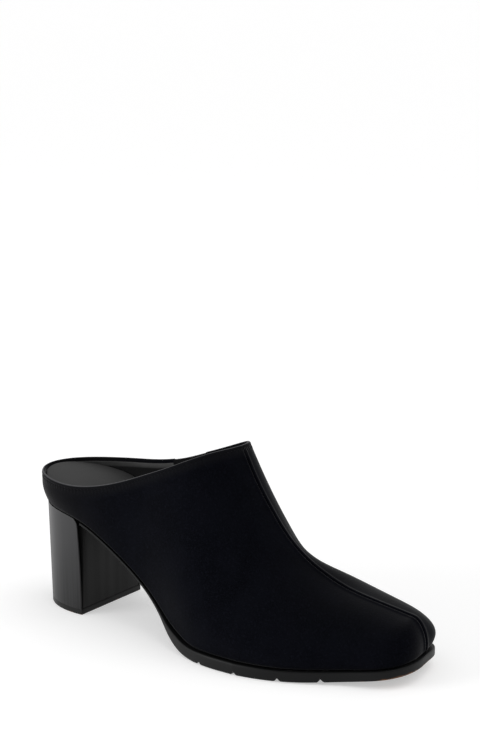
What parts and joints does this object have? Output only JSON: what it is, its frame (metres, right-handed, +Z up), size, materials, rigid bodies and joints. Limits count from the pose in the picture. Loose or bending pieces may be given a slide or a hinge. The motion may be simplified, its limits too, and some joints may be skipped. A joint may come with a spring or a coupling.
{
  "type": "heeled mule",
  "caption": "Square-toe slip-on mule for the right foot with an open heel, a centre seam down the vamp, an elastic insert, a padded insole, a rubber sole and a glossy block heel",
  "frame": {"origin": "on the floor, under the middle of the shoe's bounding box", "axes": "+X runs from the heel to the toe, +Y to the medial side, +Z up"},
  "size_m": [0.2422, 0.0944, 0.1012],
  "materials": {
    "upper_fabric": "black stretch fabric with a fine matte nap",
    "elastic": "black ribbed elastic",
    "insole_leather": "soft dark grey lining leather over padding",
    "sole_rubber": "dark grey satin moulded rubber",
    "heel_lacquer": "glossy black cover with fine upright streaks",
    "lift_rubber": "matte black rubber"
  },
  "bodies": {
    "root": {"upper": "upper_fabric", "elastic_gore": "elastic", "insole": "insole_leather", "outsole": "sole_rubber", "heel": "heel_lacquer", "top_lift": "lift_rubber"}
  },
  "joints": []
}
